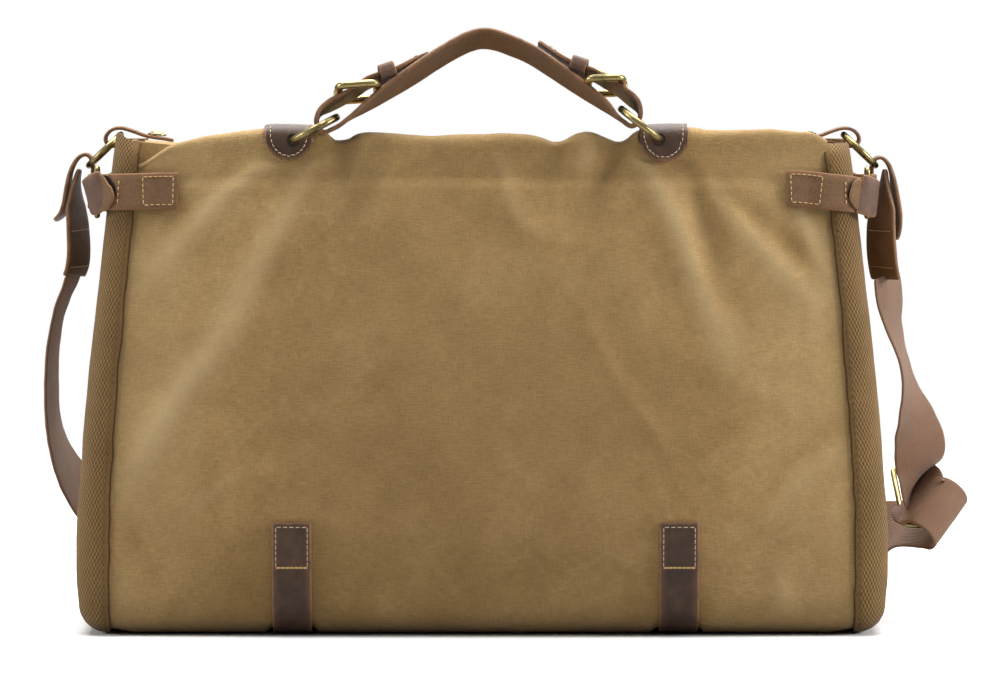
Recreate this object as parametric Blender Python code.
"""Canvas satchel bag with leather fittings and brass hardware.

Frame: +Z up, +X to the right when facing the back panel, the back panel faces -Y,
the flap falls over the front (+Y). "Left" is -X. The origin is the centre of the base,
on the floor. Lengths are in millimetres and are scaled to metres when a mesh is made.
"""

import math
from collections import namedtuple

import bmesh
import bpy
import numpy as np
from mathutils import Matrix, Vector

for old_object in list(bpy.data.objects):
    bpy.data.objects.remove(old_object, do_unlink=True)

MM = 0.001
Y_AXIS = (0, 1, 0)
Z_AXIS = (0, 0, 1)
BACK, FRONT = -1, 1
SIDES = (("left", -1), ("right", 1))     # name, sign of X

# ---------------------------------------------------------------- driving sizes
CANVAS = 3.0                 # canvas and its padding
WEB_T = 2.0                  # side and shoulder webbing thickness
LEATHER = 2.5                # thick leather
THIN_LEATHER = 2.0
LIFT = 0.4                   # gap under a piece that lies on the canvas
BASE_HALF = 62               # half depth of the lower bag
BOTTOM_R = 22.0              # radius of the bottom edge
FLAT_HALF = BASE_HALF - BOTTOM_R
PANEL_TOP = 271.0
BASE_DENT = 3.2              # depth of the recess for the straps under the base
CORNER_DEPTH = 14.0          # how far the side edge's rounding reaches in Y
STRAP_X = (-110.0, 114.0)    # centres of the bottom and front straps
STRAP_W = 23.0
FRAME_WIRE = 1.5             # wire radius of the buckles and side rings

# height tables: (z, value)
HALF_DEPTH = [(0, BASE_HALF), (22, BASE_HALF), (50, BASE_HALF), (100, 59.5), (150, 54),
              (200, 47.5), (250, 40), (271, 37), (290, 33.5)]
# outward bulge at the middle of the panels
CROWN = [(0, 0), (22, 6), (50, 12), (100, 14), (150, 14), (200, 13.5), (250, 12), (271, 10.5),
         (290, 8)]
# where the panels meet the rounded side edge
SEAM_X = [(0, 217.5), (20, 217.5), (78, 216.9), (136, 213.4), (194, 208.8), (243, 204), (285, 200)]
# outer face of the side webbing
EDGE_X = [(0, 234.8), (18, 234.8), (31, 235.8), (49, 236), (75, 235), (92, 233.5), (119, 231.8),
          (145, 229.5), (171, 227), (197, 224), (240, 219.5), (285, 214)]


def lookup(table, value):
    """Linear interpolation in a table of (key, value) pairs."""
    return float(np.interp(value, [row[0] for row in table], [row[1] for row in table]))


# ---------------------------------------------------------------- materials and nodes
Finish = namedtuple("Finish", "colour roughness metallic")
FINISHES = {
    "canvas": Finish(colour=(0.36, 0.23, 0.095), roughness=0.9, metallic=0.0),
    "webbing": Finish(colour=(0.26, 0.16, 0.06), roughness=0.85, metallic=0.0),
    "lining": Finish(colour=(0.22, 0.17, 0.11), roughness=0.9, metallic=0.0),
    "board": Finish(colour=(0.25, 0.2, 0.15), roughness=0.8, metallic=0.0),
    "leather": Finish(colour=(0.10, 0.042, 0.022), roughness=0.55, metallic=0.0),
    "brass": Finish(colour=(0.42, 0.28, 0.11), roughness=0.35, metallic=1.0),
    "strap_webbing": Finish(colour=(0.17, 0.095, 0.055), roughness=0.8, metallic=0.0),
}
SMOOTH_ANGLE = math.radians(45)     # sharper edges stay hard on smooth pieces
Body = namedtuple("Body", "empty joint")
BODIES = {}


def add_body(name, joint, parent=None):
    """An empty at the joint that a moving part turns on."""
    empty = bpy.data.objects.new("body_" + name, None)
    bpy.context.scene.collection.objects.link(empty)
    joint = Vector(joint)
    empty.location = joint * MM
    if parent:
        empty.parent = BODIES[parent].empty
        empty.location = (joint - BODIES[parent].joint) * MM
    BODIES[name] = Body(empty, joint)


def make_material(finish, name):
    mat = bpy.data.materials.new(name)
    mat.use_nodes = True
    inputs = mat.node_tree.nodes["Principled BSDF"].inputs
    inputs["Base Color"].default_value = (*finish.colour, 1)
    inputs["Roughness"].default_value = finish.roughness
    inputs["Metallic"].default_value = finish.metallic
    return mat


def add_piece(name, shape, kind, parent, smooth=False):
    """One piece from (verts, faces), its mesh placed round the joint of its body."""
    verts, faces = shape
    joint = BODIES[parent].joint
    mesh = bpy.data.meshes.new(name)
    mesh.from_pydata([tuple((Vector(v) - joint) * MM) for v in verts], [], faces)
    bm = bmesh.new()
    bm.from_mesh(mesh)
    bmesh.ops.recalc_face_normals(bm, faces=bm.faces)
    if bm.calc_volume(signed=True) < 0:
        bmesh.ops.reverse_faces(bm, faces=bm.faces)
    bm.to_mesh(mesh)
    bm.free()
    if smooth:
        mesh.shade_smooth()
        mesh.set_sharp_from_angle(angle=SMOOTH_ANGLE)
    mesh.materials.append(make_material(FINISHES[kind], name))
    piece = bpy.data.objects.new(name, mesh)
    bpy.context.scene.collection.objects.link(piece)
    piece.parent = BODIES[parent].empty
    return piece


# ---------------------------------------------------------------- shape builders
def loft(loops, closed=False):
    """Skin through loops of equal length; the ends are capped unless the loft is closed."""
    size, count = len(loops[0]), len(loops)
    verts = [tuple(p) for loop in loops for p in loop]
    faces = []
    for i in range(count if closed else count - 1):
        this, following = i * size, ((i + 1) % count) * size
        for j in range(size):
            k = (j + 1) % size
            faces.append((this + j, this + k, following + k, following + j))
    if not closed:
        faces.append(tuple(range(size)))
        faces.append(tuple((count - 1) * size + j for j in range(size)))
    return verts, faces


def slab(outer, inner):
    """A sheet with thickness between two grids of points."""
    rows, cols = len(outer), len(outer[0])
    verts = [tuple(p) for row in outer + inner for p in row]
    shift = rows * cols
    faces = []

    def rim(start, end):
        faces.append((start, end, shift + end, shift + start))

    for i in range(rows - 1):
        for j in range(cols - 1):
            start = i * cols + j
            quad = (start, start + 1, start + cols + 1, start + cols)
            faces.append(quad)
            faces.append(tuple(shift + v for v in reversed(quad)))
    for j in range(cols - 1):
        rim(j + 1, j)
        last = (rows - 1) * cols + j
        rim(last, last + 1)
    for i in range(rows - 1):
        start = i * cols
        rim(start, start + cols)
        rim(start + 2 * cols - 1, start + cols - 1)
    return verts, faces


def bmesh_shape(bm):
    """The (verts, faces) of a bmesh, which is freed."""
    verts = [tuple(v.co) for v in bm.verts]
    faces = [tuple(v.index for v in f.verts) for f in bm.faces]
    bm.free()
    return verts, faces


def unit(vector):
    vector = np.asarray(vector, float)
    return vector / (np.linalg.norm(vector) or 1.0)


def square_to(vector, axis):
    """Unit vector along the part of vector that is square to the axis."""
    return unit(vector - axis * np.dot(vector, axis))


def tangents(path, closed=False):
    pts = np.asarray(path, float)
    last = len(pts) - 1
    if closed:
        return [unit(pts[(i + 1) % len(pts)] - pts[i - 1]) for i in range(len(pts))]
    return [unit(pts[min(i + 1, last)] - pts[max(i - 1, 0)]) for i in range(len(pts))]


def band(path, across, width, thick):
    """A flat strap along a path; across (its width direction) and width may be lists."""
    half_t = thick / 2
    loops = []
    for i, (point, along) in enumerate(zip(path, tangents(path))):
        side = across[i] if isinstance(across, list) else across
        side = square_to(np.asarray(side, float), along)
        normal = np.cross(along, side)
        half_w = (width[i] if isinstance(width, list) else width) / 2
        loops.append([point + side * (u * half_w) + normal * (v * half_t)
                      for u, v in ((-1, -1), (1, -1), (1, 1), (-1, 1))])
    return loft(loops)


def tube(path, radius, up, sides=6, closed=True):
    """A round wire along a path; radius may be a list."""
    up = np.asarray(up, float)
    loops = []
    for i, (point, along) in enumerate(zip(path, tangents(path, closed))):
        first = square_to(up, along)
        second = np.cross(along, first)
        rad = radius[i] if isinstance(radius, list) else radius
        turns = [k * 2 * math.pi / sides for k in range(sides)]
        loops.append([point + rad * (math.cos(t) * first + math.sin(t) * second) for t in turns])
    return loft(loops, closed)


def smooth_path(points, steps):
    """Catmull-Rom curve through the points."""
    pts = [np.asarray(p, float) for p in points]
    pts = [2 * pts[0] - pts[1]] + pts + [2 * pts[-1] - pts[-2]]
    out = []
    for i in range(1, len(pts) - 2):
        before, start, end, after = pts[i - 1:i + 3]
        for k in range(steps):
            t = k / steps
            out.append(0.5 * (2 * start + (end - before) * t
                              + (2 * before - 5 * start + 4 * end - after) * t * t
                              + (3 * start - before - 3 * end + after) * t ** 3))
    out.append(pts[-2])
    return out


def path_at_y0(points, steps):
    """Smooth path through (x, z) points in the plane y = 0."""
    return smooth_path([(x, 0, z) for x, z in points], steps)


def ring_path(centre, first, radius, count=20):
    """Circle in the plane of the first axis and Y."""
    turns = [2 * math.pi * k / count for k in range(count)]
    second = np.asarray(Y_AXIS, float)
    return [centre + radius * (math.cos(t) * first + math.sin(t) * second) for t in turns]


def frame_path(centre, first, second, half_1, half_2, radius=3.0, steps=3):
    """Rounded rectangle with its half sizes along two axes."""
    centre, first, second = (np.asarray(v, float) for v in (centre, first, second))
    out = []
    for sign_1, sign_2, start in ((1, 1, 0), (-1, 1, 90), (-1, -1, 180), (1, -1, 270)):
        for k in range(steps + 1):
            turn = math.radians(start + 90 * k / steps)
            out.append(centre
                       + first * (sign_1 * (half_1 - radius) + radius * math.cos(turn))
                       + second * (sign_2 * (half_2 - radius) + radius * math.sin(turn)))
    return out


PRONG_R = 1.0
PRONG_HOOK_R = 2.9      # from the bar's centre to the tongue's


def prong(bar, along, up, reach):
    """A buckle tongue: hooks over its bar and lies across the frame."""
    bar, along, up = (np.asarray(v, float) for v in (bar, along, up))
    pts = [bar - along * PRONG_HOOK_R * math.cos(a) + up * PRONG_HOOK_R * math.sin(a)
           for a in map(math.radians, (45, 60, 75, 90))]
    pts += [bar + along * reach * k + up * PRONG_HOOK_R for k in (0.5, 1.0)]
    radii = [PRONG_R] * 5 + [PRONG_R * 0.7]
    return tube(pts, radii, np.cross(along, up), sides=8, closed=False)


# ---------------------------------------------------------------- the bag's surface
# A station is a place on the section in the YZ plane: point, outward normal, crown and dent.
Station = namedtuple("Station", "y z ny nz crown dent")


def swell(share):
    """Share of the crown reached at a share of the half width."""
    return max(0.0, 1.0 - abs(share) ** 2.6)


def wall(side, z):
    slope = (lookup(HALF_DEPTH, z + 3) - lookup(HALF_DEPTH, z - 3)) / 6
    if z < 50 or z > 265:
        slope = 0.0
    ny, nz = unit((side, -slope))
    return Station(side * lookup(HALF_DEPTH, z), z, ny, nz, lookup(CROWN, z), 0.0)


def arc(side, degrees):
    """Bottom edge: 0 is where the wall ends, 90 is where the flat base starts."""
    cos, sin = math.cos(math.radians(degrees)), math.sin(math.radians(degrees))
    return Station(side * (FLAT_HALF + BOTTOM_R * cos), BOTTOM_R - BOTTOM_R * sin,
                   side * cos, -sin, lookup(CROWN, 22) * (1 - sin), BASE_DENT * sin ** 2)


def flat(y):
    return Station(y, 0.0, 0.0, -1.0, 0.0, BASE_DENT)


def around(back_z, degrees, flat_y, front_z):
    """Stations down the back, under the base and up the front."""
    return ([wall(BACK, z) for z in back_z] + [arc(BACK, a) for a in degrees]
            + [flat(y) for y in flat_y]
            + [arc(FRONT, a) for a in reversed(degrees)] + [wall(FRONT, z) for z in front_z])


def on_panel(station, x, offset):
    """Point on the shell at x, offset outward from the canvas face."""
    half = lookup(SEAM_X, station.z)
    out = offset + station.crown * swell(x / half)
    for strap_x in STRAP_X:
        out -= station.dent * float(np.clip((14.7 - abs(x - strap_x)) / 2.2, 0, 1))
    # room for the side webbing to lie flush under the base
    out -= 0.75 * station.dent * float(np.clip((abs(x) / half - 0.935) / 0.06, 0, 1))
    return np.array((x, station.y + station.ny * out, station.z + station.nz * out))


def gusset_x(z):
    """Outer face of the gusset, under the side webbing."""
    return lookup(EDGE_X, z) - WEB_T - LIFT


def on_corner(station, sign, turn, offset):
    """Point round the side edge: turn 0 at the seam, 1 on the gusset, more is further in."""
    seam = lookup(SEAM_X, station.z)
    width = gusset_x(station.z) - seam
    angle = min(turn, 1.0) * math.pi / 2
    cos, sin = math.cos(angle), math.sin(angle)
    normal = unit((CORNER_DEPTH * sin, width * cos))
    out = width * sin + normal[0] * offset
    inward = CORNER_DEPTH * (1 - cos) + max(0.0, turn - 1.0) * 10 + 0.75 * station.dent
    inward -= normal[1] * offset
    return np.array((sign * (seam + out), station.y - station.ny * inward,
                     station.z - station.nz * inward))


# ---------------------------------------------------------------- back, front and bottom panels
# columns across a panel, as shares of the seam's x
PANEL_COLS = [-1, -0.92, -0.8, -0.68, -0.5747, -0.5632, -0.4483, -0.4368, -0.28, -0.1,
              0.1, 0.28, 0.4552, 0.4667, 0.5816, 0.5931, 0.7, 0.82, 0.93, 1]
PANEL_Z = (PANEL_TOP, 250, 220, 180, 130, 80, 45, 22)


def panel_row(station, offset):
    seam = lookup(SEAM_X, station.z)
    return ([on_corner(station, -1, turn, offset) for turn in (0.85, 0.4)]
            + [on_panel(station, share * seam, offset) for share in PANEL_COLS]
            + [on_corner(station, 1, turn, offset) for turn in (0.4, 0.85)])


def panel_shape(stations):
    return slab([panel_row(s, 0) for s in stations], [panel_row(s, -CANVAS) for s in stations])


def build_panels():
    for side, name in ((BACK, "back_panel"), (FRONT, "front_panel")):
        stations = [wall(side, z) for z in PANEL_Z] + [arc(side, a) for a in (25, 50)]
        add_piece(name, panel_shape(stations), "canvas", "bag", True)
    bottom = around((), (52, 75), (-FLAT_HALF, FLAT_HALF), ())
    add_piece("bottom_panel", panel_shape(bottom), "canvas", "bag")


# ---------------------------------------------------------------- gussets and their webbing
GUSSET_Z = (14.9, 16.5, 19, 24, 45, 80, 130, 180, 220, 250, 262, 274)
GUSSET_INSET = CORNER_DEPTH + 0.8
ROLL_X, ROLL_Z, ROLL_R = 204.5, 275, 8      # the gusset's top edge rolls inward round this
GUSSET_END_X, GUSSET_END_Z = 182, 283.4
WEBBING_Z = (286, 271, 250, 220, 180, 130, 80, 45, 22)
WEBBING_TURNS = (0.0, 0.25, 0.5, 0.75, 1.0, 1.45)


def gusset_half(z):
    """Half depth of the gusset's flat field."""
    if z < BOTTOM_R:
        rise_sq = (BOTTOM_R - GUSSET_INSET) ** 2 - (BOTTOM_R - z) ** 2
        return FLAT_HALF + math.sqrt(max(0.0, rise_sq))
    return lookup(HALF_DEPTH, z) - GUSSET_INSET


def gusset_grid(sign, depth):
    """The gusset's surface, depth below its outer face."""
    line = [(gusset_x(z) - depth, gusset_half(z), z) for z in GUSSET_Z]
    top_half = gusset_half(ROLL_Z + ROLL_R)
    for turn in map(math.radians, (30, 60, 90)):
        radius = ROLL_R - depth
        line.append((ROLL_X + radius * math.cos(turn), top_half, ROLL_Z + radius * math.sin(turn)))
    line.append((GUSSET_END_X, top_half, GUSSET_END_Z - depth))
    for i in range(len(GUSSET_Z) + 3, len(line)):
        line[i] = (GUSSET_END_X, top_half, GUSSET_END_Z - depth)
    return [[(sign * x, half * k, z) for k in (-1, -0.5, 0, 0.5, 1)] for x, half, z in line]


def build_gusset(side, sign):
    add_piece("gusset_" + side, slab(gusset_grid(sign, 0), gusset_grid(sign, CANVAS)),
              "canvas", "bag")
    stations = around(WEBBING_Z, (25, 50, 75), (-FLAT_HALF, 0, FLAT_HALF), WEBBING_Z[::-1])
    outer, inner = ([[on_corner(s, sign, turn, offset) for turn in WEBBING_TURNS]
                     for s in stations] for offset in (LIFT + WEB_T, LIFT))
    add_piece("side_webbing_" + side, slab(outer, inner), "webbing", "bag", True)


# ---------------------------------------------------------------- lining and base board
LINING_Z = (9.8, 11.5, 17, 25, 50, 100, 150, 200, 250, 262)
LINING_T = 1.2
LINING_GAP = 1.5            # behind the panels' half depth
LINING_BOTTOM_R = 18.5
LINING_FLOOR_Z = 11.0
LINING_POWER = 2 / 5.0      # superellipse plan
BOARD_SIZE = (404, 84, 2.6)
BOARD_Z = 8.0
BOARD_CORNER = 8


def lining_loop(z, inset):
    half_x = min(lookup(EDGE_X, z) - 8.5, 207 + 0.75 * z) - inset
    half_y = lookup(HALF_DEPTH, z)
    if z < BOTTOM_R:
        half_y = FLAT_HALF + math.sqrt(LINING_BOTTOM_R ** 2 - (BOTTOM_R - z) ** 2)
    half_y -= LINING_GAP + inset
    loop = []
    for k in range(20):
        turn = 2 * math.pi * (k + 0.5) / 20
        cos, sin = math.cos(turn), math.sin(turn)
        loop.append((half_x * math.copysign(abs(cos) ** LINING_POWER, cos),
                     half_y * math.copysign(abs(sin) ** LINING_POWER, sin), z))
    return loop


def build_lining():
    outside = [lining_loop(z, 0.0) for z in LINING_Z]
    inside = [lining_loop(z, LINING_T) for z in LINING_Z]
    floor = [(x, y, LINING_FLOOR_Z) for x, y, _ in inside[1]]
    add_piece("lining", loft(outside + inside[:1:-1] + [floor]), "lining", "bag")


def build_board():
    bm = bmesh.new()
    place = Matrix.Translation((0, 0, BOARD_Z)) @ Matrix.Diagonal((*BOARD_SIZE, 1))
    bmesh.ops.create_cube(bm, size=1.0, matrix=place)
    upright = [e for e in bm.edges if abs(e.verts[0].co.z - e.verts[1].co.z) > 1]
    bmesh.ops.bevel(bm, geom=upright, offset=BOARD_CORNER, segments=2, affect="EDGES")
    add_piece("base_board", bmesh_shape(bm), "board", "bag")


# ---------------------------------------------------------------- leather straps under the bag
def bottom_strap_row(station, strap_x, offset):
    row = []
    for k in (-1, -0.33, 0.33, 1):
        x = strap_x + k * STRAP_W / 2
        out = offset - station.dent + station.crown * swell(x / lookup(SEAM_X, station.z))
        row.append((x, station.y + station.ny * out, station.z + station.nz * out))
    return row


def build_bottom_strap(side, strap_x):
    stations = around((66, 50, 35, 22), (15, 30, 45, 60, 75), (-FLAT_HALF, 0, FLAT_HALF),
                      (22, 35, 50, 57))
    # a little thicker where it is let into the base
    outer = [bottom_strap_row(s, strap_x, LIFT + LEATHER + 0.28 * s.dent / BASE_DENT)
             for s in stations]
    inner = [bottom_strap_row(s, strap_x, LIFT) for s in stations]
    add_piece("bottom_strap_" + side, slab(outer, inner), "leather", "bag")


# ---------------------------------------------------------------- flap: shoulder over the ridge
FLAP_HINGE = (0.0, -47.9, 271.2)
BEND_HINGE = (0.0, 50.6, 279.0)
# crest of the flap's ridge: (x, z)
RIDGE = [(-180, 284), (-165, 288), (-140, 291), (-124, 293), (-101, 293), (-96, 287),
         (-70, 286.5), (0, 288), (50, 286.5), (72, 286.5), (86, 291), (90, 293), (118, 293),
         (140, 292.5), (180, 291)]
SHOULDER_X = (-178, -165, -140, -124, -112, -101, -96, -84, -70, -40, 0, 40, 72, 80, 86, 90,
              104, 118, 140, 178)
# side: x of both edges
PATCH_X = {"left": (-124, -101), "right": (93.4, 118)}
PATCH_T = 2.0


def ridge_line(x, offset):
    """Flap section at x, from the hinge over the ridge to the front edge, offset outward."""
    crest = lookup(RIDGE, x)
    back_y = -(lookup(HALF_DEPTH, PANEL_TOP) + lookup(CROWN, PANEL_TOP) * swell(x / 201))
    pts = [(back_y, 271.7), (back_y * 0.985, 278), (min(back_y * 0.97, -37.0), crest - 6),
           (-39.5, crest - 1.6), (-36.0, crest), (-31.5, crest - 1.5),
           (-26, min(crest - 5, 285.6)), (-12, 283.6), (15, 283.4), (38, 282.8), (50.2, 282.0)]
    last = len(pts) - 1
    out = []
    for i, (y, z) in enumerate(pts):
        before, after = pts[max(i - 1, 0)], pts[min(i + 1, last)]
        along = unit((after[0] - before[0], after[1] - before[1]))
        normal = (-along[1], along[0])
        if i == 0:
            normal = (-1.0, 0.0)
        if i == last:
            normal = (0.0, 1.0)
        out.append((x, y + normal[0] * offset, z + normal[1] * offset))
    return out


def build_shoulder():
    outer, inner = ([ridge_line(x, offset) for x in SHOULDER_X] for offset in (0, -CANVAS))
    return add_piece("flap_shoulder", slab(outer, inner), "canvas", "flap_top", True)


def patch_row(x, low, offset):
    """Patch section from its low back edge to just past the crest."""
    line = ridge_line(x, offset)
    middle = (x, line[2][1], (line[2][2] + low) / 2 + 1)
    return [(x, line[0][1], low), middle] + line[2:6]


def build_patch(side):
    start, end = PATCH_X[side]
    outer, inner = [], []
    for x in np.linspace(start, end, 5):
        share = abs((x - (start + end) / 2) / ((end - start) / 2))
        low = 275.0 + 5.5 * share ** 4
        outer.append(patch_row(x, low, LIFT + PATCH_T))
        inner.append(patch_row(x, low, LIFT))
    return add_piece("handle_patch_" + side, slab(outer, inner), "leather", "flap_top")


# ---------------------------------------------------------------- handle rings and their loops
RING_R = 14.8               # to the centre of the wire
RING_WIRE = 2.1
RING_HOLE_WIRE = 5.3
RING_Y = -41.0
RING_PIVOT = (0.0, RING_Y, 286.0)
# centre, direction in the ring's plane away from its patch, normal of the ring's plane
Ring = namedtuple("Ring", "centre along normal")
RINGS = {
    "left": Ring(np.array((-97.5, RING_Y, 293.0)), unit((0.886, 0, 0.464)),
                 unit((-0.464, 0, 0.886))),
    "right": Ring(np.array((92.4, RING_Y, 295.4)), unit((-0.783, 0, 0.622)),
                  unit((0.622, 0, 0.783))),
}
# leather round a ring's wire: (along the ring, above its plane), between the two ends
LOOP = [(9.3, -4.92), (4.93, -4.58), (2.9, -2.6), (2.7, 0.94), (4.2, 4.6), (8.1, 7.3), (14.2, 7.9)]
# side: first point, last point, x of the fold line where both ends are cut
LOOP_ENDS = {"left": ((14.3, -4.95), (19.6, 7.9), -84.2),
             "right": ((13.0, -4.95), (19.2, 7.9), 82.6)}
LOOP_HALF_W = 10


def build_ring(side, pierced):
    """A ring, and the hidden cutter that makes its hole in the pierced pieces."""
    ring = RINGS[side]
    path = ring_path(ring.centre, ring.along, RING_R)
    add_piece("handle_ring_" + side, tube(path, RING_WIRE, ring.normal),
              "brass", "handle_rings", True)
    name = "ring_hole_" + side
    cutter = add_piece(name, tube(path, RING_HOLE_WIRE, ring.normal, sides=8),
                       "brass", "flap_top")
    cutter.hide_render = True
    cutter.display_type = "WIRE"
    for piece in pierced:
        hole = piece.modifiers.new(name, "BOOLEAN")
        hole.operation = "DIFFERENCE"
        hole.solver = "EXACT"
        hole.object = cutter


def build_ring_loop(side):
    ring = RINGS[side]
    first, last, cut_x = LOOP_ENDS[side]
    path = smooth_path([ring.centre + ring.along * u + ring.normal * v
                        for u, v in [first] + LOOP + [last]], 3)
    half_t = LEATHER / 2
    loops = []
    for i, (point, along) in enumerate(zip(path, tangents(path))):
        normal = np.cross(along, Y_AXIS)
        loop = [point + normal * (u * half_t) + np.array((0, v * LOOP_HALF_W, 0))
                for u, v in ((-1, -1), (-1, 1), (1, 1), (1, -1))]
        if i in (0, len(path) - 1):   # both ends are cut square to X, at the fold line
            for p in loop:
                p[2] += (cut_x - p[0]) * along[2] / (along[0] or 1)
                p[0] = cut_x
        loops.append(loop)
    add_piece("handle_loop_" + side, loft(loops), "leather", "handle_rings")


# ---------------------------------------------------------------- handle
NECK_Z = 303.0              # height of the handle's fold line
LEAN = math.radians(20.0)
HANDLE_PIVOT = (0.0, RING_Y, NECK_Z)
FACE = np.array((0, math.cos(LEAN), -math.sin(LEAN)))   # across the strap
HANDLE_W, TAIL_W = 22, 20.0
# centre lines: (x, z) before leaning
HANDLE_PATH = [(-80.8, 296.6), (-76.5, 299.8), (-60, 311.5), (-40, 325.3), (-22.5, 337.4),
               (-10, 344.6), (0.6, 347), (12, 344.9), (28.3, 337.4), (45, 325.7), (60, 315),
               (74, 304.6), (77.3, 302.1)]
# each tail rises through its buckle frame and lies above the strap it belongs to
TAILS = {
    "left": [(-83.5, 309.3), (-79, 311.8), (-74, 314.6), (-67, 319.2), (-60, 322.0),
             (-51, 325.0), (-42, 329.6), (-31, 336.4)],
    "right": [(81.7, 314.0), (77, 317.2), (72, 320.0), (66, 323.6), (60, 326.0), (52, 328.8),
              (44, 333.0), (33, 340.6)],
}
# side: outer bar (x, z), inner bar (x, z), x direction and rise of the tongue
HANDLE_BUCKLES = {"left": ((-82.4, 313.7), (-61.4, 315.2), 1, 0.34),
                  "right": ((80.7, 318.4), (62.0, 317.7), -1, 0.40)}
HANDLE_BUCKLE_HALF_W = 13.5
HANDLE_PRONG = 20.0
# side: centre (x, z), rise over a run of 12
HANDLE_KEEPERS = {"left": ((-55.0, 324.0), 4.1), "right": ((56.2, 327.5), -4.1)}
# section: (place along the strap, half width, half height)
HANDLE_KEEPER_LOOPS = ((-4.5, 11.4, 2.6), (-4.5, 12.9, 4.0), (4.5, 12.9, 4.0), (4.5, 11.4, 2.6))


def leaning(x, z):
    """Point of the handle's leaning plane."""
    return np.array((x, RING_Y + (z - NECK_Z) * math.tan(LEAN), z))


def leaning_direction(run, rise):
    return unit(np.array((run, rise * math.tan(LEAN), rise)))


def above(along):
    """Upward normal of a strap of the handle."""
    normal = np.cross(along, FACE)
    return normal if normal[2] > 0 else -normal


def build_handle_straps():
    path = smooth_path([leaning(*p) for p in HANDLE_PATH], 2)
    add_piece("handle_strap", band(path, FACE, HANDLE_W, LEATHER), "leather", "handle")
    for side, pts in TAILS.items():
        path = smooth_path([leaning(*p) for p in pts], 2)
        widths = [TAIL_W] * (len(path) - 2) + [16.0, 8.0]
        add_piece("handle_tail_" + side, band(path, FACE, widths, LEATHER), "leather", "handle")


def build_handle_buckle(side):
    """The outer bar lies over the strap, the inner under it; the tongue is on the outer."""
    outer_bar, inner_bar, run, rise = HANDLE_BUCKLES[side]
    start, end = leaning(*outer_bar), leaning(*inner_bar)
    along = unit(end - start)
    frame = frame_path((start + end) / 2, along, FACE, np.linalg.norm(end - start) / 2,
                       HANDLE_BUCKLE_HALF_W)
    add_piece("handle_buckle_" + side, tube(frame, FRAME_WIRE, above(along)),
              "brass", "handle", True)
    name = "handle_prong_" + side
    lie = leaning_direction(run, rise)
    add_body(name, start, "handle")
    add_piece(name, prong(start, lie, above(lie), HANDLE_PRONG), "brass", name, True)


def build_handle_keeper(side):
    place, rise = HANDLE_KEEPERS[side]
    centre = leaning(*place)
    along = leaning_direction(12, rise)
    up = above(along)
    loops = [[centre + along * shift + FACE * (u * half_w) + up * (v * half_h)
              for u, v in ((-1, -1), (1, -1), (1, 1), (-1, 1))]
             for shift, half_w, half_h in HANDLE_KEEPER_LOOPS]
    add_piece("handle_keeper_" + side, loft(loops, closed=True), "leather", "handle")


# ---------------------------------------------------------------- flap front and its straps
FLAP_GAP = 1.2              # between the flap and the front panel
FLAP_TOP, FLAP_LOW = 278.8, 80
FLAP_COLS = (-1, -0.9, -0.75, -0.56, -0.4, -0.2, 0, 0.2, 0.4, 0.57, 0.75, 0.9, 1)
FLAP_Z = (FLAP_TOP, 268, 250, 225, 200, 170, 140, 110, FLAP_LOW)
FLAP_HALF_W = [(80, 199), (230, 197), (279, 178)]       # (z, half width)
FLAP_STRAP_Z = (81.2, 95, 110, 140, 170, 200, 225, 245)


def flap_y(x, z):
    """Inner face of the flap's front, clear of the crowned panel and its own bend."""
    panel = lookup(HALF_DEPTH, z) + lookup(CROWN, z) * swell(x / lookup(SEAM_X, z))
    return max(panel + FLAP_GAP, BEND_HINGE[1] - 0.12 * (BEND_HINGE[2] - z))


def build_flap_front():
    inner = []
    for share in FLAP_COLS:
        row = []
        for height in FLAP_Z:
            x = share * lookup(FLAP_HALF_W, height)
            # the lower corners are turned up
            z = height + (10 * abs(share) ** 10 if height == FLAP_LOW else 0)
            row.append((x, 50.8 if height == FLAP_TOP else flap_y(x, z), z))
        inner.append(row)
    outer = [[(x, y + CANVAS, z) for x, y, z in row] for row in inner]
    add_piece("flap_front", slab(outer, inner), "canvas", "front_flap")


def thick_in_y(inner):
    """Leather from its inner face towards +Y."""
    return slab([[(x, y + LEATHER, z) for x, y, z in row] for row in inner], inner)


def build_flap_strap(side, strap_x):
    left, right = strap_x - STRAP_W / 2, strap_x + STRAP_W / 2
    inner = []
    for z in FLAP_STRAP_Z:
        y = max(flap_y(x, z) for x in (left, strap_x, right)) + CANVAS + 0.5
        inner.append([(left, y, z), (right, y, z)])
    add_piece("flap_strap_" + side, thick_in_y(inner), "leather", "front_flap")


# ---------------------------------------------------------------- front tabs
TAB_Y = 78.9                # inner face
TAB_TOP = 79.4
TAB_OUTLINE = ((TAB_TOP, 22), (60, 22), (40, 22), (34.5, 15), (32.5, 8))     # (z, width)
FRONT_BUCKLE_Y = TAB_Y + LEATHER + 3.7
FRONT_BUCKLE_Z = 68.0
FRONT_BUCKLE_HALF = (14.5, 9.5)     # along X, along Z
FRONT_PRONG = 19.0
# section: (z, half width, inner y, outer y)
FRONT_KEEPER_LOOPS = ((49, 11.5, 78.5, 82.0), (49, 13.0, 77.2, 83.3),
                      (55, 13.0, 77.2, 83.3), (55, 11.5, 78.5, 82.0))
SNAP_Z = 42.0
SNAP_BASE_Y = (75.3, 76.6)
SNAP_CAP_Y = (77.0, 78.5)


def snap_half(strap_x, start_y, end_y):
    """Low cone along Y, its wider end at the start."""
    bm = bmesh.new()
    place = Matrix.Translation((strap_x, (start_y + end_y) / 2, SNAP_Z))
    bmesh.ops.create_cone(bm, cap_ends=True, segments=14, radius1=6.0, radius2=5.4,
                          depth=end_y - start_y,
                          matrix=place @ Matrix.Rotation(-math.pi / 2, 4, "X"))
    return bmesh_shape(bm)


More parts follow.
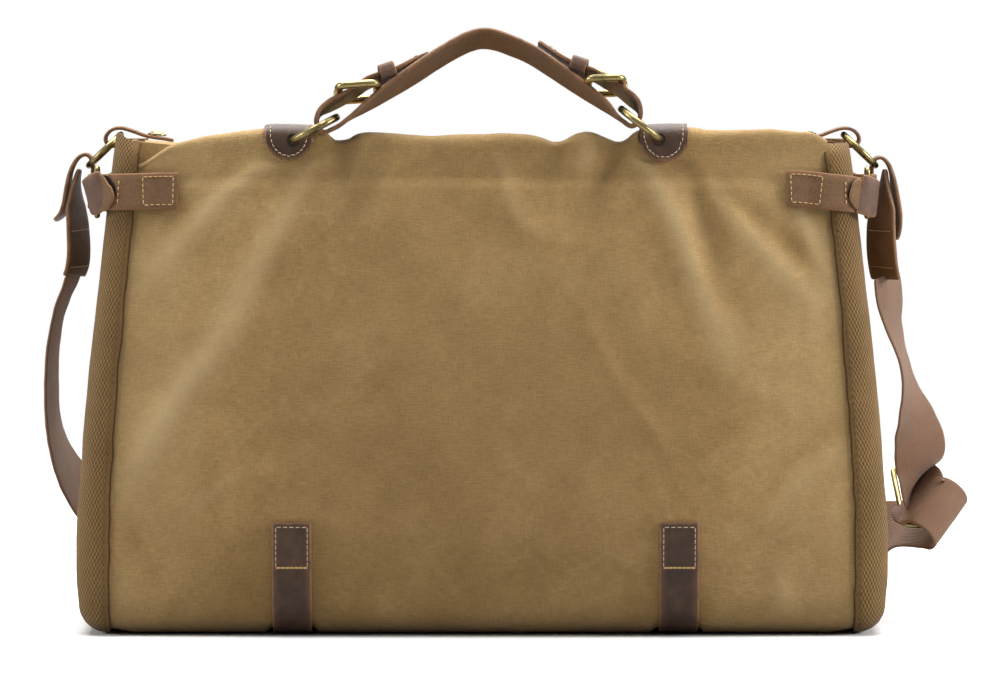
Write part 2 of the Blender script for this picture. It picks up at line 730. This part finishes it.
def build_front_tab(side, strap_x):
    tab = "front_tab_" + side
    add_body(tab, (strap_x, TAB_Y + LEATHER, TAB_TOP), "front_flap")
    inner = [[(strap_x + k * width / 2, TAB_Y, z) for k in (-1, 1)] for z, width in TAB_OUTLINE]
    add_piece(tab, thick_in_y(inner), "leather", tab)

    frame = frame_path((strap_x, FRONT_BUCKLE_Y, FRONT_BUCKLE_Z), (1, 0, 0), Z_AXIS,
                       *FRONT_BUCKLE_HALF)
    add_piece("front_buckle_" + side, tube(frame, FRAME_WIRE, Y_AXIS), "brass", tab, True)
    bar = (strap_x, FRONT_BUCKLE_Y, FRONT_BUCKLE_Z - FRONT_BUCKLE_HALF[1])
    name = "front_prong_" + side
    add_body(name, bar, tab)
    add_piece(name, prong(bar, Z_AXIS, Y_AXIS, FRONT_PRONG), "brass", name, True)

    loops = [[(strap_x - half, near, z), (strap_x + half, near, z),
              (strap_x + half, far, z), (strap_x - half, far, z)]
             for z, half, near, far in FRONT_KEEPER_LOOPS]
    add_piece("front_keeper_" + side, loft(loops, closed=True), "leather", tab)
    add_piece("snap_base_" + side, snap_half(strap_x, *SNAP_BASE_Y), "brass", "bag")
    add_piece("snap_cap_" + side, snap_half(strap_x, *SNAP_CAP_Y), "brass", tab)


# ---------------------------------------------------------------- side rings, tabs and straps
SIDE_RING_Z = 256.0
SIDE_RING_HALF = (5.5, 14.0)        # along Y, along Z
SIDE_LEATHER_W = 21


def build_side_fittings(side, sign):
    station = wall(BACK, SIDE_RING_Z)
    edge = lookup(EDGE_X, SIDE_RING_Z)
    bar_x = sign * (edge + 7.0)
    back_y = -(lookup(HALF_DEPTH, SIDE_RING_Z) - 12.0)      # the ring's back bar
    front_y = back_y + 2 * SIDE_RING_HALF[0]
    strap_x = sign * (edge + 2.1)       # leather flat on the side

    # the panels lean in towards the top, and the leather leans with them
    up = np.array((0, 0, 1.0))
    lean_y = np.array((0, 0.15, 1.0))
    lean_x = np.array((-sign * 0.12, 0, 1.0))

    def add_leather(name, points, across):
        path = [np.array((x, y, SIDE_RING_Z)) for x, y in points]
        add_piece(name + side, band(path, across, SIDE_LEATHER_W, LEATHER), "leather", "bag")

    pts = [on_panel(station, sign * x, 0.6 + LEATHER / 2)[:2] for x in (178, 190)]
    pts += [on_corner(station, sign, turn, 3.7 + LEATHER / 2)[:2] for turn in (0.0, 0.3, 0.6)]
    pts[2] = pts[2] + np.array((-sign * 5, 0.2))
    pts += [(strap_x, back_y - 1.0), (bar_x - sign * 2.6, back_y + 3.2),
            (bar_x + sign * 1.2, back_y + 4.0), (bar_x + sign * 4.4, back_y + 1.0),
            (bar_x + sign * 4.2, back_y - 3.0)]
    add_leather("back_tab_", pts, [lean_y] * 4 + [lean_y + lean_x - up, lean_x] + [up] * 4)

    name = "side_ring_" + side
    add_body(name, (bar_x, back_y, SIDE_RING_Z), "bag")
    frame = frame_path((bar_x, back_y + SIDE_RING_HALF[0], SIDE_RING_Z), Y_AXIS, Z_AXIS,
                       *SIDE_RING_HALF, radius=2.0, steps=2)
    add_piece(name, tube(frame, FRAME_WIRE, (1, 0, 0)), "brass", name, True)

    pts = [(bar_x + sign * 4.4, front_y + 3.0), (bar_x + sign * 4.4, front_y - 0.5),
           (bar_x + sign * 1.0, front_y - 4.5), (bar_x - sign * 3.4, front_y - 3.2),
           (strap_x, front_y + 3.0), (strap_x, 2.0), (strap_x, 18.0), (strap_x, 25.0)]
    add_leather("side_strap_", pts, [up] * 4 + [lean_x] * 4)


# ---------------------------------------------------------------- corner rings, straps and studs
CORNER_RING_X, CORNER_RING_Z = 221.2, 279.8
CORNER_RING_R = 13.0
CORNER_RING_WIRE = 1.9
STUD_X, STUD_Z, STUD_R = 190.6, 291.3, 5.2
STUD_FLATTEN = 0.45


def build_corner_strap(side, sign, wire_x, wire_z):
    """Leather over the ring's upper, inner reach, with a roomy bight round the wire."""
    pts = [(sign * 181, 289.6), (sign * 190, 289.6), (sign * 198, 289.8), (sign * 205, 292.8),
           (wire_x - sign * 0.5, wire_z + 5.6), (wire_x + sign * 4.2, wire_z + 4.6),
           (wire_x + sign * 6.8, wire_z + 0.6), (wire_x + sign * 5.4, wire_z - 3.4),
           (wire_x + sign * 1.0, wire_z - 4.8), (sign * 205, 284.7), (sign * 196, 284.9)]
    add_piece("corner_strap_" + side, band(path_at_y0(pts, 2), Y_AXIS, 12, THIN_LEATHER),
              "leather", "bag")


def build_corner_stud(side, sign):
    """Upper half of a flattened ball."""
    bm = bmesh.new()
    place = Matrix.Translation((sign * STUD_X, 0, STUD_Z))
    bmesh.ops.create_uvsphere(bm, u_segments=12, v_segments=6, radius=STUD_R,
                              matrix=place @ Matrix.Diagonal((1, 1, STUD_FLATTEN, 1)))
    bmesh.ops.bisect_plane(bm, geom=bm.verts[:] + bm.edges[:] + bm.faces[:],
                           plane_co=(0, 0, STUD_Z), plane_no=(0, 0, -1), clear_outer=True)
    bmesh.ops.holes_fill(bm, edges=[e for e in bm.edges if e.is_boundary])
    add_piece("corner_stud_" + side, bmesh_shape(bm), "brass", "bag", True)


def build_strap_loop(side, sign, wire_x, wire_z):
    """Leather loop that hangs in the ring's lower, outer reach."""
    pts = [(wire_x + sign * 5.4, 257.0), (wire_x + sign * 6.0, 264.0),
           (wire_x + sign * 5.6, wire_z + 1.5), (wire_x + sign * 2.5, wire_z + 5.0),
           (wire_x - sign * 2.5, wire_z + 5.0), (wire_x - sign * 5.0, wire_z + 1.0),
           (wire_x - sign * 3.6, 264.0), (wire_x - sign * 0.6, 257.0)]
    add_piece("strap_loop_" + side, band(path_at_y0(pts, 2), Y_AXIS, 14, THIN_LEATHER),
              "leather", "strap_rings")


def build_corner(side, sign):
    centre = np.array((sign * CORNER_RING_X, 0, CORNER_RING_Z))
    outward = unit((sign * 0.72, 0, -0.694))
    ring = ring_path(centre, outward, CORNER_RING_R)
    add_piece("corner_ring_" + side,
              tube(ring, CORNER_RING_WIRE, unit(np.cross(outward, Y_AXIS))),
              "brass", "strap_rings", True)
    upper = centre - outward * CORNER_RING_R
    lower = centre + outward * CORNER_RING_R
    build_corner_strap(side, sign, upper[0], upper[2])
    build_corner_stud(side, sign)
    build_strap_loop(side, sign, lower[0], lower[2])


# ---------------------------------------------------------------- shoulder strap
STRAP_PIVOT_Z = 267.0
SHOULDER_W = 38
STRAP_END_W = [22, 30, SHOULDER_W]
STRAP_END_T = 4.0
STRAP_ENDS = {
    "left": ((-233.2, 0, 251.5), (-234.5, 0, 232), (-236.6, 1, 208)),
    "right": ((233.2, 0, 251.5), (233.5, 0, 232), (235.2, 1, 208)),
}
SLIDER_POINT = (253.5, 50, 72)
SLIDER_HALF = (22.5, 5.0)           # across the webbing, through it
SLIDER_WIRE = 1.6
# centre line from the left end, round the front, to the right end
SHOULDER_PATH = [
    (-237.2, 1.0, 206.0), (-240.0, 1.6, 198), (-246, 6, 186), (-250.5, 13, 171),
    (-252.5, 24, 150), (-252.5, 40, 126), (-250, 58, 104), (-242, 82, 82), (-222, 108, 58),
    (-180, 126, 36), (-120, 134, 24), (0, 136, 21), (120, 134, 24), (180, 126, 32),
    (218, 112, 42), (238, 90, 50), (250.0, 68, 57), SLIDER_POINT, (260.0, 37, 91),
    (261.5, 28, 112), (256.5, 20, 132), (249.5, 13, 152), (243, 7, 172), (238.5, 2.6, 190),
    (236.2, 1.4, 199), (235.6, 1.0, 206.0)]
SHOULDER_STEPS = 2


def build_shoulder_strap():
    for side, pts in STRAP_ENDS.items():
        add_piece("strap_end_" + side,
                  band([np.array(p) for p in pts], Y_AXIS, STRAP_END_W, STRAP_END_T),
                  "leather", "shoulder_strap")
    path = smooth_path(SHOULDER_PATH, SHOULDER_STEPS)
    along = tangents(path)
    across = []
    for point, direction in zip(path, along):
        # the webbing faces away from the bag
        outward = unit((point[0] / 1.9, max(0.0, point[1] - 60) * 1.6, 0))
        across.append(np.cross(direction, outward))
    add_piece("shoulder_webbing", band(path, across, SHOULDER_W, WEB_T),
              "strap_webbing", "shoulder_strap")

    # slider: a brass frame round the webbing, square to it
    k = SHOULDER_STEPS * SHOULDER_PATH.index(SLIDER_POINT)
    side = square_to(across[k], along[k])
    frame = frame_path(path[k], side, np.cross(along[k], side), *SLIDER_HALF,
                       radius=2.4, steps=2)
    add_body("slider", path[k], "shoulder_strap")
    add_piece("strap_slider", tube(frame, SLIDER_WIRE, along[k]), "brass", "slider", True)


# ---------------------------------------------------------------- assembly
add_body("bag", (0, 0, 0))
build_panels()
for side_name, side_sign in SIDES:
    build_gusset(side_name, side_sign)
build_lining()
build_board()
for (side_name, _), centre_x in zip(SIDES, STRAP_X):
    build_bottom_strap(side_name, centre_x)

add_body("flap_top", FLAP_HINGE, "bag")
add_body("front_flap", BEND_HINGE, "flap_top")
add_body("handle_rings", RING_PIVOT, "flap_top")
add_body("handle", HANDLE_PIVOT, "handle_rings")
flap_shoulder = build_shoulder()
build_handle_straps()
for side_name, _ in SIDES:
    build_ring(side_name, (flap_shoulder, build_patch(side_name)))
    build_ring_loop(side_name)
    build_handle_buckle(side_name)
    build_handle_keeper(side_name)

build_flap_front()
for (side_name, _), centre_x in zip(SIDES, STRAP_X):
    build_flap_strap(side_name, centre_x)
    build_front_tab(side_name, centre_x)

add_body("strap_rings", (0, 0, CORNER_RING_Z), "bag")
add_body("shoulder_strap", (0, 0, STRAP_PIVOT_Z), "strap_rings")
for side_name, side_sign in SIDES:
    build_side_fittings(side_name, side_sign)
    build_corner(side_name, side_sign)
build_shoulder_strap()
